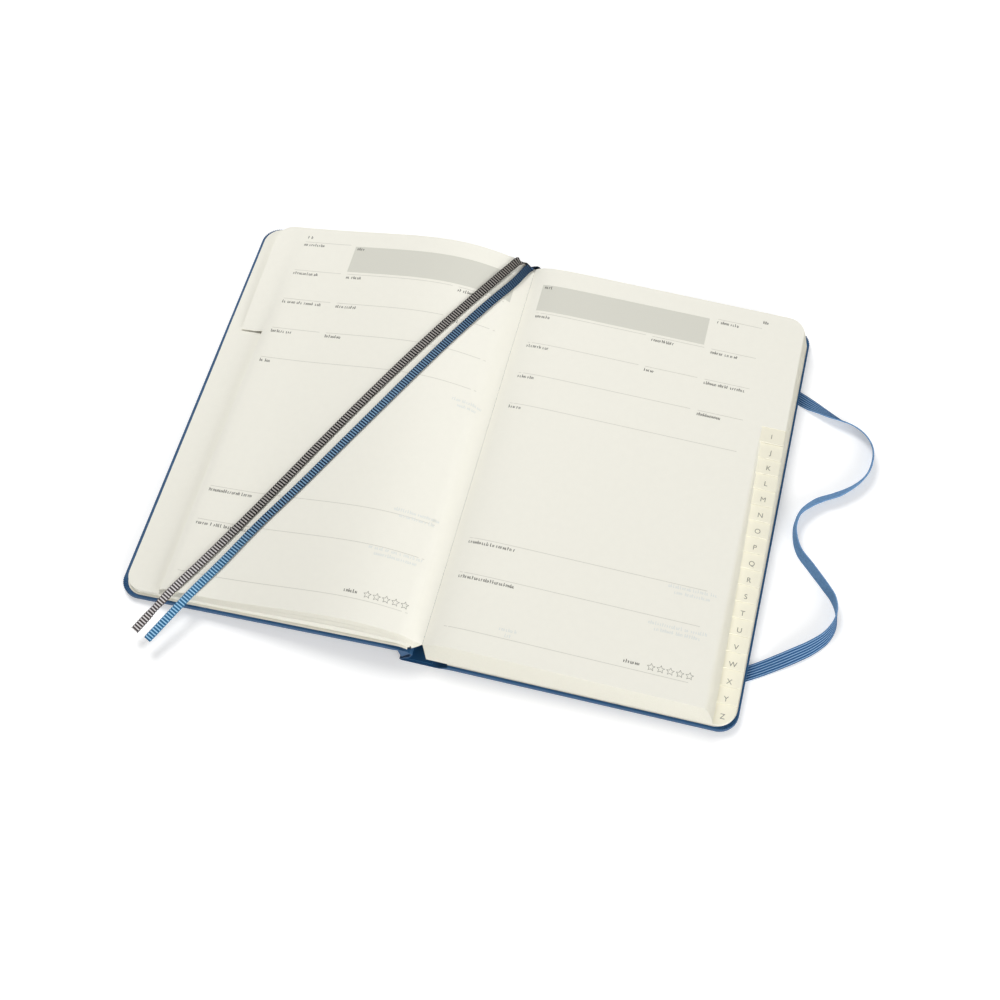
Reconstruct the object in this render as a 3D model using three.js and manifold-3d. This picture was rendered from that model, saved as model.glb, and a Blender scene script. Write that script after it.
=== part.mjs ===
// A hardcover reading journal lying open, with a thumb index from A to Z cut into its leaves.
// Millimetres, +Z up. X runs from the front cover on the left to the back cover on the right,
// +Y is the head of the book. The origin is on the table, under the middle of the spine.
import * as THREE from 'three';
import { mergeVertices } from 'three/addons/utils/BufferGeometryUtils.js';
import Module from 'manifold-3d';

const wasm = await Module();
wasm.setup();

// Case
const coverHeight = 210;
const coverWidth = 130.8;
const spineWidth = 15;
const jointWidth = 6;
const boardThickness = 2;
const clothThickness = 0.4;
const turnInThickness = 0.3;
const turnInWidth = 8;
const pastedownThickness = 0.2;
const glueGap = 0.05;
const coverCorner = 9.5;
const pastedownInset = 1;
const spineCardThickness = 1;
const spineCardInset = 1;
const coverTilt = THREE.MathUtils.degToRad(4.1);
const frontFoldSlack = 1.2;

// Elastic closure
const elasticWidth = 6.5;
const elasticThickness = 0.8;
const elasticGap = 0.1;
const slotInset = 13.5;
const slotSetback = 26;
const slotClearance = 0.3;
const elasticPatchLength = 14;
const elasticPatchThickness = 0.25;
const elasticSeam = 0.3;

// Pocket inside the back cover
const pocketMouthInset = 5;
const pocketMargin = 3.4;
const pocketCard = 0.3;
const gussetCloth = 0.15;
const gussetWidth = 8;
const gussetGap = 0.1;

// Leaves
const pageInset = 3.1;
const pageHeight = coverHeight - 2 * pageInset;
const pageCorner = 9;
const indexLetters = 'abcdefghijklmnopqrstuvwxyz';
const lettersOnTheLeft = 8;
const tabDepth = 11;
const tabDepthAtFoot = 9.2;
const sheetThickness = 0.18;
const leafGap = 0.05;
const gutterX = 2.3;
const gutterHeight = 14.8;
const spineFoot = 4;
const endLeavesThickness = 0.7;
const rightForeTop = 134.3;
const rightForeBottom = 136.8;
const rightRise = 4.4;
const rightRiseReach = 5.5;
const rightFall = 3.9;
const liningThickness = 0.4;
const liningGap = 0.3;
const liningDrop = 1.6;
const liningInset = 3;

// Leaves on the front cover, fanned in three clusters
const flyleafThickness = 0.2;
const frontMatterThickness = 2.9;
const sectionThickness = 0.37;
const leftSpineEdge = 0.8;
const jointRoll = 8;
const clusterLift = [0.03, 0.8, 1];
const sectionsForeEdge = [128.6, 127.8];
const frontMatterForeEdge = 135.3;
const flyleafForeEdge = 135.7;
const archHead = { height: 9.3, crest: 45, reach: 140, power: 6 };
const archTail = { height: 6.5, crest: 40, reach: 95, power: 3 };

// Ribbons
const ribbonWidth = 4;
const ribbonThickness = 0.3;

const halfHeight = coverHeight / 2;
const pageHalf = pageHeight / 2;
const spread = spineWidth / 2 + coverWidth;
const boardWidth = coverWidth - jointWidth;
const boardBase = clothThickness + glueGap;
const turnInBase = boardBase + boardThickness + glueGap;
const clothHeight = turnInBase + turnInThickness;
const coverThickness = clothHeight + glueGap + pastedownThickness;
const backCoverBase = elasticThickness + elasticGap;
const backCoverTop = backCoverBase + coverThickness;
const gussetHeight = 3 * gussetCloth + 2 * gussetGap;
const pocketTop = backCoverTop + glueGap + gussetHeight + glueGap + pocketCard;
const rowPitch = pageHeight / indexLetters.length;
// Cutting tools and the slabs that are cut reach this far past what they cut
const cutterHeight = 100;
const slabMargin = 2;
const frontForeEdge = spread - frontFoldSlack - clothHeight * Math.sin(coverTilt);

const colours = {
  cloth: [0x2f5f86, 0.62], inside: [0x28557d, 0.7], board: [0xb9b2a2, 0.9],
  paper: [0xefede0, 0.85], endpaper: [0xeeebdc, 0.85], tab: [0xebe6cc, 0.85],
  elastic: [0x4a78a8, 0.75], grey: [0x55504d, 0.7], blue: [0x2a6ca6, 0.65],
};
const journal = new THREE.Group();

function solidOf(geometry) {
  const bare = geometry.index ? geometry.toNonIndexed() : geometry.clone();
  bare.deleteAttribute('normal');
  bare.deleteAttribute('uv');
  const merged = mergeVertices(bare, 1e-5);
  return new wasm.Manifold(new wasm.Mesh({
    numProp: 3,
    vertProperties: new Float32Array(merged.attributes.position.array),
    triVerts: new Uint32Array(merged.index.array),
  }));
}

function geometryOf(solid) {
  const mesh = solid.getMesh();
  const geometry = new THREE.BufferGeometry();
  geometry.setAttribute('position', new THREE.BufferAttribute(mesh.vertProperties, 3));
  geometry.setIndex(new THREE.BufferAttribute(mesh.triVerts, 1));
  return geometry;
}

function addPiece(parent, name, shape, colour) {
  const [color, roughness] = colours[colour];
  const geometry = shape.isBufferGeometry ? shape : geometryOf(shape);
  const mesh = new THREE.Mesh(geometry, new THREE.MeshStandardMaterial({ color, roughness }));
  mesh.name = name;
  parent.add(mesh);
  return mesh;
}

function prism(outline, base, height) {
  const shape = new THREE.Shape(outline);
  const geometry = new THREE.ExtrudeGeometry(shape, { depth: height, bevelEnabled: false });
  return solidOf(geometry.translate(0, 0, base));
}

// A quarter of a circle from one angle to another, in degrees, stretched along X by side, 1 or -1
function corner(centreX, centreY, radius, from, to, side) {
  const points = [];
  for (let step = 0; step <= 5; step += 1) {
    const angle = THREE.MathUtils.degToRad(from + (to - from) * step / 5);
    points.push(new THREE.Vector2(
      centreX + side * radius * Math.cos(angle), centreY + radius * Math.sin(angle)));
  }
  return points;
}

// A sheet from its straight edge at x1 to a fore-edge at x2 with both outer corners round
function sheetOutline(x1, x2, half, radius) {
  const side = Math.sign(x2 - x1);
  return [
    new THREE.Vector2(x1, -half),
    ...corner(x2 - side * radius, radius - half, radius, -90, 0, side),
    ...corner(x2 - side * radius, half - radius, radius, 0, 90, side),
    new THREE.Vector2(x1, half),
  ];
}

// A slab between two surfaces, given at columns of X and at the tail (0) and the head (1),
// that reaches past the leaf it is cut to
function slab(columns, low, high) {
  const position = [];
  const index = [];
  for (const x of columns) {
    for (const head of [0, 1]) {
      const y = (head - 0.5) * (pageHeight + 2 * slabMargin);
      position.push(x, y, low(x, head), x, y, high(x, head));
    }
  }
  const quad = (a, b, c, d) => index.push(a, b, c, a, c, d);
  for (let i = 0; i + 1 < columns.length; i += 1) {
    const a = 4 * i;
    const b = a + 4;
    quad(a + 1, b + 1, b + 3, a + 3);
    quad(a, a + 2, b + 2, b);
    quad(a, b, b + 1, a + 1);
    quad(a + 2, a + 3, b + 3, b + 2);
  }
  const last = 4 * (columns.length - 1);
  quad(0, 1, 3, 2);
  quad(last, last + 2, last + 3, last + 1);
  const geometry = new THREE.BufferGeometry();
  geometry.setAttribute('position', new THREE.BufferAttribute(new Float32Array(position), 3));
  geometry.setIndex(index);
  return solidOf(geometry);
}

// A leaf between two surfaces, full width down to the foot of its own index row and cut back
// by the depth of its tab below it
function leaf(columns, x1, x2, letter, depth, low, high) {
  const outline = sheetOutline(x1, x2, pageHalf, pageCorner);
  const whole = slab(columns, low, high)
    .intersect(prism(outline, -cutterHeight / 2, cutterHeight));
  if (letter >= indexLetters.length - 1) {
    return whole;
  }
  const foot = pageHalf - (letter + 1) * rowPitch;
  const below = foot + coverHeight;
  const notch = new THREE.BoxGeometry(2 * depth, below, cutterHeight);
  return whole.subtract(solidOf(notch.translate(x2, foot - below / 2, 0)));
}

// Columns from the gutter out to the fore-edge, closer together where the leaves turn
function gutterColumns(side, count, crowding) {
  const start = side > 0 ? gutterX - 1 : gutterX + 1;
  const length = spread - side * start + 2;
  const columns = [];
  for (let i = 0; i <= count; i += 1) {
    columns.push(start + side * length * (i / count) ** crowding);
  }
  return side > 0 ? columns : columns.reverse();
}

function slit(width, x, y) {
  const across = elasticThickness + 2 * slotClearance;
  const box = new THREE.BoxGeometry(width + 2 * slotClearance, across, cutterHeight);
  return solidOf(box.translate(x, y, 0));
}

// Cover cloth folded round the board: outer face, three edges and the turned-in border
function coverCloth(slots) {
  const outer = sheetOutline(0, boardWidth, halfHeight, coverCorner);
  const wall = clothThickness + glueGap;
  const inner = sheetOutline(-1, boardWidth - wall, halfHeight - wall, coverCorner - wall);
  const border = turnInWidth;
  const window = sheetOutline(
    -1, boardWidth - border, halfHeight - border, Math.max(coverCorner - border, 1));
  let cloth = prism(outer, 0, clothHeight)
    .subtract(prism(inner, clothThickness, turnInBase - clothThickness))
    .subtract(prism(window, boardBase, cutterHeight));
  for (const [x, y] of slots) {
    cloth = cloth.subtract(slit(elasticWidth, x, y));
  }
  return cloth;
}

function coverBoard(slots) {
  const wall = clothThickness + 2 * glueGap;
  const outline = sheetOutline(0, boardWidth - wall, halfHeight - wall, coverCorner - wall);
  let board = prism(outline, boardBase, boardThickness);
  for (const [x, y] of slots) {
    board = board.subtract(slit(elasticWidth, x, y));
  }
  return board;
}

function pastedown() {
  const outline = sheetOutline(
    0.5, boardWidth - pastedownInset, halfHeight - pastedownInset,
    coverCorner - pastedownInset);
  return prism(outline, clothHeight + glueGap, pastedownThickness);
}

// Where the elastic passes through the back cover, in that cover's own frame
const slotX = boardWidth - slotInset;
const slotY = halfHeight - slotSetback;
const slots = [[slotX, slotY], [slotX, -slotY]];

// The front cover's frame starts at its fore-edge, on the table, and climbs to the joint.
// Its pieces are drawn as the back cover's are, and turned over end for end along X.
function buildFrontCover() {
  const front = new THREE.Group();
  front.position.set(-frontForeEdge, 0, 0);
  front.rotation.y = -coverTilt;
  const flip = new THREE.Matrix4().set(
    -1, 0, 0, boardWidth, 0, 1, 0, 0, 0, 0, 1, 0, 0, 0, 0, 1);
  const mirrored = (solid) => solid.transform(flip.toArray());
  addPiece(front, 'front_board', mirrored(coverBoard([])), 'board');
  addPiece(front, 'front_cloth', mirrored(coverCloth([])), 'cloth');
  addPiece(front, 'front_pastedown', mirrored(pastedown()), 'endpaper');
  journal.add(front);
}

function buildBackCover() {
  const back = new THREE.Group();
  back.position.set(spineWidth / 2 + jointWidth, 0, backCoverBase);
  addPiece(back, 'back_board', coverBoard(slots), 'board');
  addPiece(back, 'back_cloth', coverCloth(slots), 'cloth');
  addPiece(back, 'back_pastedown', pastedown(), 'endpaper');
  journal.add(back);
}

// A strip of cloth of even thickness along a curve in the XZ plane, as tall as the cover
function clothStrip(curve, steps, thickness, half) {
  const left = [];
  const right = [];
  for (let i = 0; i <= steps; i += 1) {
    const point = curve.getPoint(i / steps);
    const along = curve.getTangent(i / steps);
    const across = new THREE.Vector2(-along.y, along.x).multiplyScalar(thickness / 2);
    left.push(point.clone().add(across));
    right.unshift(point.clone().sub(across));
  }
  const shape = new THREE.Shape([...left, ...right]);
  const geometry = new THREE.ExtrudeGeometry(shape, { depth: 2 * half, bevelEnabled: false });
  return geometry.rotateX(Math.PI / 2).translate(0, half, 0);
}

// Height of the front cover's faces above the table, at its outer and inner side
function frontCoverFace(x, depth) {
  return (x + frontForeEdge) * Math.tan(coverTilt) + depth / Math.cos(coverTilt);
}

function buildSpine() {
  const half = spineWidth / 2;
  const card = new THREE.BoxGeometry(
    spineWidth - 2 * spineCardInset, coverHeight - 2 * spineCardInset, spineCardThickness);
  const cardBase = clothThickness + glueGap;
  card.translate(0, 0, cardBase + spineCardThickness / 2);
  addPiece(journal, 'spine_card', card, 'board');
  const cloth = new THREE.BoxGeometry(spineWidth, coverHeight, clothThickness);
  cloth.translate(0, 0, clothThickness / 2);
  addPiece(journal, 'spine_cloth', cloth, 'cloth');

  const boardEnd = boardWidth * Math.cos(coverTilt) - frontForeEdge + 0.3;
  const clothMiddle = clothThickness / 2;
  const fold = new THREE.CubicBezierCurve(
    new THREE.Vector2(boardEnd + jointWidth, frontCoverFace(boardEnd + jointWidth, 0.5)),
    new THREE.Vector2(boardEnd + 2.2 * jointWidth, frontCoverFace(boardEnd + 2 * jointWidth, 0.5)),
    new THREE.Vector2(5.5 - half, 5.5),
    new THREE.Vector2(-half - 0.35, clothMiddle + 0.7));
  const inLine = new THREE.LineCurve(
    new THREE.Vector2(boardEnd, frontCoverFace(boardEnd, 0.5)), fold.v0.clone());
  const frontFold = new THREE.CurvePath();
  frontFold.add(inLine);
  frontFold.add(fold);
  addPiece(journal, 'front_joint', clothStrip(frontFold, 18, clothThickness, halfHeight), 'cloth');

  const backStart = half + jointWidth - 0.3;
  const backFold = new THREE.CubicBezierCurve(
    new THREE.Vector2(backStart, backCoverBase + clothMiddle),
    new THREE.Vector2(backStart - jointWidth / 2, backCoverBase + clothMiddle),
    new THREE.Vector2(half + jointWidth / 2, clothMiddle),
    new THREE.Vector2(half + 0.3, clothMiddle));
  addPiece(journal, 'back_joint', clothStrip(backFold, 8, clothThickness, halfHeight), 'cloth');
}

// Each end of the elastic lies under the back cover, passes through its slot and is glued
// down as a patch on the inner side of the board. It meets the slack loop square to its run.
function elasticEnd(side, start, next) {
  const x = spineWidth / 2 + jointWidth + slotX;
  const y = side * slotY;
  const half = elasticWidth / 2;
  const along = new THREE.Vector2(next[0] - start[0], next[1] - start[1]).normalize();
  const across = new THREE.Vector2(-along.y, along.x).multiplyScalar(half);
  const meeting = new THREE.Vector2(start[0], start[1]).addScaledVector(along, -elasticSeam);
  const strap = prism([
    new THREE.Vector2(x - half, y), new THREE.Vector2(x + half, y),
    meeting.clone().add(across), meeting.clone().sub(across),
  ], 0, elasticThickness);
  const patchBase = backCoverBase + turnInBase;
  const riser = solidOf(new THREE.BoxGeometry(elasticWidth, elasticThickness, patchBase)
    .translate(x, y, patchBase / 2));
  const patch = solidOf(new THREE.BoxGeometry(
    elasticWidth, elasticPatchLength, elasticPatchThickness).translate(
    x, y - side * (elasticPatchLength - elasticThickness) / 2,
    patchBase + elasticPatchThickness / 2));
  return strap.add(riser).add(patch);
}

function buildPocket() {
  const left = spineWidth / 2 + jointWidth + pocketMouthInset;
  const right = spread - pocketMargin;
  const half = halfHeight - pocketMargin;
  const gussetBase = backCoverTop + glueGap;
  const panel = sheetOutline(left, right, half, coverCorner + 2);
  addPiece(journal, 'pocket_panel',
    prism(panel, gussetBase + gussetHeight + glueGap, pocketCard), 'paper');

  // Three plies in a flat zigzag, drawn as an outline across the gusset
  const ply = gussetCloth;
  const pitch = gussetCloth + gussetGap;
  const zigzag = (side) => {
    const outer = side * (half - 0.6);
    const inner = outer - side * gussetWidth;
    const shape = new THREE.Shape([
      new THREE.Vector2(inner, 0), new THREE.Vector2(outer, 0),
      new THREE.Vector2(outer, pitch + ply),
      new THREE.Vector2(inner + side * ply, pitch + ply),
      new THREE.Vector2(inner + side * ply, 2 * pitch),
      new THREE.Vector2(outer, 2 * pitch), new THREE.Vector2(outer, 2 * pitch + ply),
      new THREE.Vector2(inner, 2 * pitch + ply), new THREE.Vector2(inner, pitch),
      new THREE.Vector2(outer - side * ply, pitch),
      new THREE.Vector2(outer - side * ply, ply), new THREE.Vector2(inner, ply),
    ]);
    const length = right - coverCorner - left - 2;
    const geometry = new THREE.ExtrudeGeometry(shape, { depth: length, bevelEnabled: false });
    geometry.rotateX(Math.PI / 2).rotateZ(Math.PI / 2);
    return geometry.translate(left + 0.5, 0, gussetBase);
  };
  addPiece(journal, 'pocket_gusset_head', zigzag(1), 'inside');
  addPiece(journal, 'pocket_gusset_tail', zigzag(-1), 'inside');
}

// Right-hand leaves: they rise from the gutter in a soft hump and fall towards the fore-edge
function rightTop(x) {
  const s = Math.max(x - gutterX, 0);
  const rise = rightRise * (1 - Math.exp(-s / rightRiseReach));
  return gutterHeight + rise - rightFall * s / (spread - gutterX);
}

function buildRightLeaves() {
  const columns = gutterColumns(1, 11, 1.7);
  const base = pocketTop + leafGap;
  const full = gutterHeight - base;
  const at = (share) => (x) => base + (rightTop(x) - base) * share;
  const foreEdge = (share) => rightForeBottom + (rightForeTop - rightForeBottom) * share;
  const spineEdge = (share) => spineFoot + (gutterX - spineFoot) * share;
  const tab = (share) => tabDepthAtFoot + (tabDepth - tabDepthAtFoot) * share;
  const add = (name, from, to, letter, colour) => {
    const gap = leafGap / full;
    addPiece(journal, name, leaf(
      columns, spineEdge(from), foreEdge(from), letter, tab(from), at(from), at(to - gap)), colour);
  };
  const last = indexLetters.length - 1;
  const sheet = (sheetThickness + leafGap) / full;
  const sectionsFrom = endLeavesThickness / full;
  const sectionsTo = 1 - 2 * sheet;
  add('end_leaves', 0, sectionsFrom, last, 'endpaper');
  const count = indexLetters.length - lettersOnTheLeft;
  for (let i = 0; i < count; i += 1) {
    const letter = last - i;
    const from = sectionsFrom + (sectionsTo - sectionsFrom) * i / count;
    const to = sectionsFrom + (sectionsTo - sectionsFrom) * (i + 1) / count;
    add(`section_${indexLetters[letter]}`, from, to, letter, 'paper');
  }
  add('first_leaf_i', sectionsTo, sectionsTo + sheet, lettersOnTheLeft, 'tab');
  add('right_page_leaf', sectionsTo + sheet, 1, lettersOnTheLeft - 1, 'paper');

  // Mull glued down the back of the sewn block, from the gutter to the foot of the spine edge
  const slope = (spineFoot - gutterX) / (gutterHeight - base);
  const top = gutterHeight - liningDrop;
  const low = base + liningGap;
  const edge = (z) => spineFoot - (z - base) * slope - liningGap;
  const lining = new THREE.Shape([
    new THREE.Vector2(edge(low), low), new THREE.Vector2(edge(top), top),
    new THREE.Vector2(edge(top) - liningThickness, top),
    new THREE.Vector2(edge(low) - liningThickness, low),
  ]);
  const geometry = new THREE.ExtrudeGeometry(
    lining, { depth: pageHeight - 2 * liningInset, bevelEnabled: false });
  geometry.rotateX(Math.PI / 2).translate(0, pageHalf - liningInset, 0);
  addPiece(journal, 'spine_lining', geometry, 'endpaper');
}

// Left-hand leaves: the stack follows the cover, rolls down into the gutter and, between the
// gutter and the fore-edge, springs up off the cover in an arch with air between its clusters.
function leftBase(x) {
  const t = THREE.MathUtils.clamp((x + jointRoll) / (jointRoll + gutterX), 0, 1);
  const stack = leftStackHeight();
  const joint = frontCoverFace(gutterX, coverThickness) + leafGap + stack - gutterHeight;
  return frontCoverFace(x, coverThickness) + leafGap - joint * t * t * (3 - 2 * t);
}

function leftStackHeight() {
  return flyleafThickness + frontMatterThickness + lettersOnTheLeft * sectionThickness
    + sheetThickness;
}

function archLift(x, { height, crest, reach, power }) {
  const s = Math.max(gutterX - x, 0);
  const r = s / crest;
  return height * (r * Math.exp(1 - r)) ** 2 * Math.max(0, 1 - (s / reach) ** power);
}

function leftSurface(depth, lift) {
  return (x, head) => leftBase(x) + depth
    + lift * (archLift(x, archTail) * (1 - head) + archLift(x, archHead) * head);
}

function buildLeftLeaves() {
  const columns = gutterColumns(-1, 17, 1.15);
  const stack = leftStackHeight();
  let depth = 0;
  const add = (name, thickness, cluster, letter, foreEdge, colour) => {
    const spineEdge = depth + thickness > stack - 0.01 ? gutterX - 0.25 : leftSpineEdge;
    addPiece(journal, name, leaf(
      columns, spineEdge, -foreEdge, letter, tabDepth,
      leftSurface(depth, clusterLift[cluster]),
      leftSurface(depth + thickness - leafGap, clusterLift[cluster])), colour);
    depth += thickness;
  };
  const full = indexLetters.length - 1;
  const [foreLow, foreHigh] = sectionsForeEdge;
  add('front_flyleaf', flyleafThickness, 0, full, flyleafForeEdge, 'endpaper');
  add('front_matter', frontMatterThickness, 1, full, frontMatterForeEdge, 'paper');
  for (let letter = 0; letter < lettersOnTheLeft; letter += 1) {
    const cluster = letter < lettersOnTheLeft / 2 ? 1 : 2;
    const foreEdge = foreLow + (foreHigh - foreLow) * letter / lettersOnTheLeft;
    add(`section_${indexLetters[letter]}`, sectionThickness, cluster, letter, foreEdge, 'paper');
  }
  add('left_page_leaf', sheetThickness, 2, lettersOnTheLeft - 1, foreHigh, 'paper');
}

// A flat band of even width and thickness along a curve, with its width direction given
function band(curve, steps, width, thickness, widthAt) {
  const position = [];
  const index = [];
  for (let i = 0; i <= steps; i += 1) {
    const t = i / steps;
    const point = curve.getPointAt(t);
    const along = curve.getTangentAt(t);
    const across = widthAt(t, point, along);
    across.addScaledVector(along, -across.dot(along)).normalize();
    const up = new THREE.Vector3().crossVectors(across, along).normalize();
    for (const [u, v] of [[-1, -1], [1, -1], [1, 1], [-1, 1]]) {
      const p = point.clone().addScaledVector(across, u * width / 2)
        .addScaledVector(up, v * thickness / 2);
      position.push(p.x, p.y, p.z);
    }
  }
  for (let i = 0; i < steps; i += 1) {
    for (let k = 0; k < 4; k += 1) {
      const a = 4 * i + k;
      const b = 4 * i + (k + 1) % 4;
      index.push(a, b + 4, b, a, a + 4, b + 4);
    }
  }
  const end = 4 * steps;
  index.push(0, 1, 2, 0, 2, 3, end, end + 2, end + 1, end, end + 3, end + 2);
  const geometry = new THREE.BufferGeometry();
  geometry.setAttribute('position', new THREE.BufferAttribute(new Float32Array(position), 3));
  geometry.setIndex(index);
  return geometry;
}

function smoothCurve(points) {
  return new THREE.CatmullRomCurve3(
    points.map(([x, y, z]) => new THREE.Vector3(x, y, z)), false, 'centripetal');
}

// Both ribbons leave the spine at the head, turn over the head edge of the left-hand leaves
// and run across the page, past its tail corner. Their points give X, Y and the height over
// the page, in a drawing for the leaf height routeHalf.
const routeHalf = 101.9;
const greyRoute = [
  [1.3, 102.3, -8.2], [0.5, 102.4, -4.8], [-3.2, 102.5, -1.4], [-5.5, 101, 0.75],
  [-8.1, 95.9, 0.75], [-15.1, 81.8, 0.7], [-29.9, 52.6, 0.7], [-43.5, 26.7, 0.7],
  [-56.4, 2.7, 0.7], [-68.6, -20.4, 0.7], [-80.1, -43, 0.75], [-91.7, -65.3, 0.75],
  [-103.2, -87.8, 0.75], [-111, -102, 0.3], [-121.5, -122.2, -2.3],
];
const blueRoute = [
  [4.8, 104.2, -9], [3.6, 104.4, -5.4], [1.9, 103.9, -1], [-0.3, 101.2, 0.8],
  [-4.8, 88.3, 0.8], [-12.1, 73, 0.75], [-19.3, 58.1, 0.7], [-33, 29.8, 0.7],
  [-45.8, 4.4, 0.7], [-58.4, -19.2, 0.7], [-70.6, -41.7, 0.7], [-83.3, -64.1, 0.75],
  [-94.2, -86, 0.75], [-101.8, -100.6, 0.3], [-114.3, -125.4, -2.4],
];

// Across a ribbon: over the page, and where it hangs down behind the head edge
const acrossPage = new THREE.Vector3(0.89, -0.45, 0);
const acrossDrop = new THREE.Vector3(0.89, 0, 0.45);

function ribbon(points) {
  const page = leftSurface(leftStackHeight(), 1);
  const surface = (x, y) => page(x, THREE.MathUtils.clamp(y / pageHeight + 0.5, 0, 1));
  const scale = pageHalf / routeHalf;
  const route = points.map(([x, y, rise]) => [x, y * scale, surface(x, y * scale) + rise]);
  return band(smoothCurve(route), 52, ribbonWidth, ribbonThickness, (t, p) => {
    const slopeX = (surface(p.x + 1, p.y) - surface(p.x - 1, p.y)) / 2;
    const slopeY = (surface(p.x, p.y + 1) - surface(p.x, p.y - 1)) / 2;
    const across = acrossPage.clone();
    across.z = across.x * slopeX + across.y * slopeY;
    return across.lerp(acrossDrop, THREE.MathUtils.clamp(p.y - pageHalf + 0.5, 0, 1));
  });
}

// The slack loop of the elastic. Its points give X from the fore-edge of the back cover, Y,
// height and lean, in degrees from lying flat, in a drawing for slots at Y = routeSlotY.
const routeSlotY = 79;
const elasticRoute = [
  [-3.8, 70.1, 0.43, 0], [2.4, 67.2, 0.43, 0], [6.4, 65.2, 0.9, 8], [10.1, 63.4, 1.7, 24],
  [15.9, 60.9, 2.3, 36], [20.4, 59.3, 2.7, 48], [25.9, 57.8, 3.1, 58], [31.5, 54.8, 3.2, 65],
  [35.6, 50.1, 3.3, 72], [37.5, 44.4, 3.3, 85], [36.8, 34.7, 3.3, 101], [32.6, 27, 3.1, 118],
  [25, 19.7, 2.9, 128], [17.3, 14.7, 2.8, 130], [11.9, 8.9, 3.1, 121], [9.2, 3.2, 3.3, 107],
  [8.9, -4.2, 3.3, 97], [12.1, -13.2, 3.3, 93], [18.6, -20.2, 3.3, 92],
  [25.6, -27.5, 3.3, 90], [30.5, -33.2, 3.3, 87], [32.8, -39.3, 3.3, 83],
  [32.7, -45.5, 3.2, 73], [30.2, -51.7, 3, 57], [25, -57.7, 2.7, 42], [17.1, -64, 2, 24],
  [8.2, -70.2, 0.66, 4], [2.6, -74, 0.43, 0], [-4.5, -78.5, 0.43, 0],
].map(([x, y, z, lean]) => [x + spread, y * slotY / routeSlotY, z, lean]);

function elasticLoop() {
  const curve = smoothCurve(elasticRoute);
  const leans = elasticRoute.map((point) => point[3]);
  return band(curve, 72, elasticWidth, elasticThickness, (t, p, along) => {
    const place = curve.getUtoTmapping(t) * (leans.length - 1);
    const i = Math.min(Math.floor(place), leans.length - 2);
    const lean = THREE.MathUtils.degToRad(
      THREE.MathUtils.lerp(leans[i], leans[i + 1], place - i));
    const beside = new THREE.Vector3(along.y, -along.x, 0).normalize();
    return beside.multiplyScalar(Math.cos(lean)).add(new THREE.Vector3(0, 0, Math.sin(lean)));
  });
}

buildFrontCover();
buildBackCover();
buildSpine();
buildPocket();
buildRightLeaves();
buildLeftLeaves();
addPiece(journal, 'elastic_end_head', elasticEnd(1, ...elasticRoute.slice(0, 2)), 'elastic');
addPiece(journal, 'elastic_end_tail',
  elasticEnd(-1, ...elasticRoute.slice(-2).reverse()), 'elastic');
addPiece(journal, 'elastic_loop', elasticLoop(), 'elastic');
addPiece(journal, 'ribbon_grey', ribbon(greyRoute), 'grey');
addPiece(journal, 'ribbon_blue', ribbon(blueRoute), 'blue');

export default journal;
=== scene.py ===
# A reading journal lying open: leaves, case, ribbons and elastic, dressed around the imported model
import math
import random

import bmesh
import bpy
import numpy as np
from mathutils import Matrix, Vector


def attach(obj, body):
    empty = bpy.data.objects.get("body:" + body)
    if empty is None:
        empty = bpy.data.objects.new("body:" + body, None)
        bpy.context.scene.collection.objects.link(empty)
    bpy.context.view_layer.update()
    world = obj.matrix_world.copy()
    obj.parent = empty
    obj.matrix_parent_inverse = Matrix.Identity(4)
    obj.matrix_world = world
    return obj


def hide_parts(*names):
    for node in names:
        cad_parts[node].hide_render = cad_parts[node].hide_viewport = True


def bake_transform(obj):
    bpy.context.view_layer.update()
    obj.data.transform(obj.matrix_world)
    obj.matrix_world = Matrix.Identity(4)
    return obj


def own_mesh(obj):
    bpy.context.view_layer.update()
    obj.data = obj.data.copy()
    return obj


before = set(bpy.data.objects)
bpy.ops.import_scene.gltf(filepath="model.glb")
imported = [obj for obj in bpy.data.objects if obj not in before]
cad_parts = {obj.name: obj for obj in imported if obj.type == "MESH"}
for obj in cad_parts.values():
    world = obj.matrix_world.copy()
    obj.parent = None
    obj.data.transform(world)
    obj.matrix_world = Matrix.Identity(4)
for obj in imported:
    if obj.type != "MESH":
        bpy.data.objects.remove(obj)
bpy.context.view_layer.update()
random.seed(26)

# Shapes are drawn in millimetres and scaled to metres when a piece is finished.
mm = 0.001


def linear(code):
    parts = [int(code[i : i + 2], 16) / 255 for i in (1, 3, 5)]
    return [c / 12.92 if c <= 0.04045 else ((c + 0.055) / 1.055) ** 2.4 for c in parts] + [1]


def addNode(tree, kind, inputs=None, **settings):
    node = tree.nodes.new(kind)
    for name, value in settings.items():
        setattr(node, name, value)
    for key, value in (inputs or {}).items():
        if isinstance(value, bpy.types.NodeSocket):
            tree.links.new(value, node.inputs[key])
        else:
            node.inputs[key].default_value = value
    return node


def startMaterial(name, roughness, ior=1.5, **sockets):
    material = bpy.data.materials.new(name)
    material.use_nodes = True
    tree = material.node_tree
    shader = tree.nodes["Principled BSDF"]
    shader.inputs["Roughness"].default_value = roughness
    shader.inputs["IOR"].default_value = ior
    for key, value in sockets.items():
        shader.inputs[key.replace("_", " ")].default_value = value
    return material, tree, shader


# Camera: the angle and distance of the photograph, on a square frame
camera = {
    "place": (107.378, -350.764, 618.880),
    "azimuth": 15.55,
    "elevation": 60.846,
    "roll": -1.536,
    "focalWidths": 1.555262,
    "sensor": 36,
}


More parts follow.
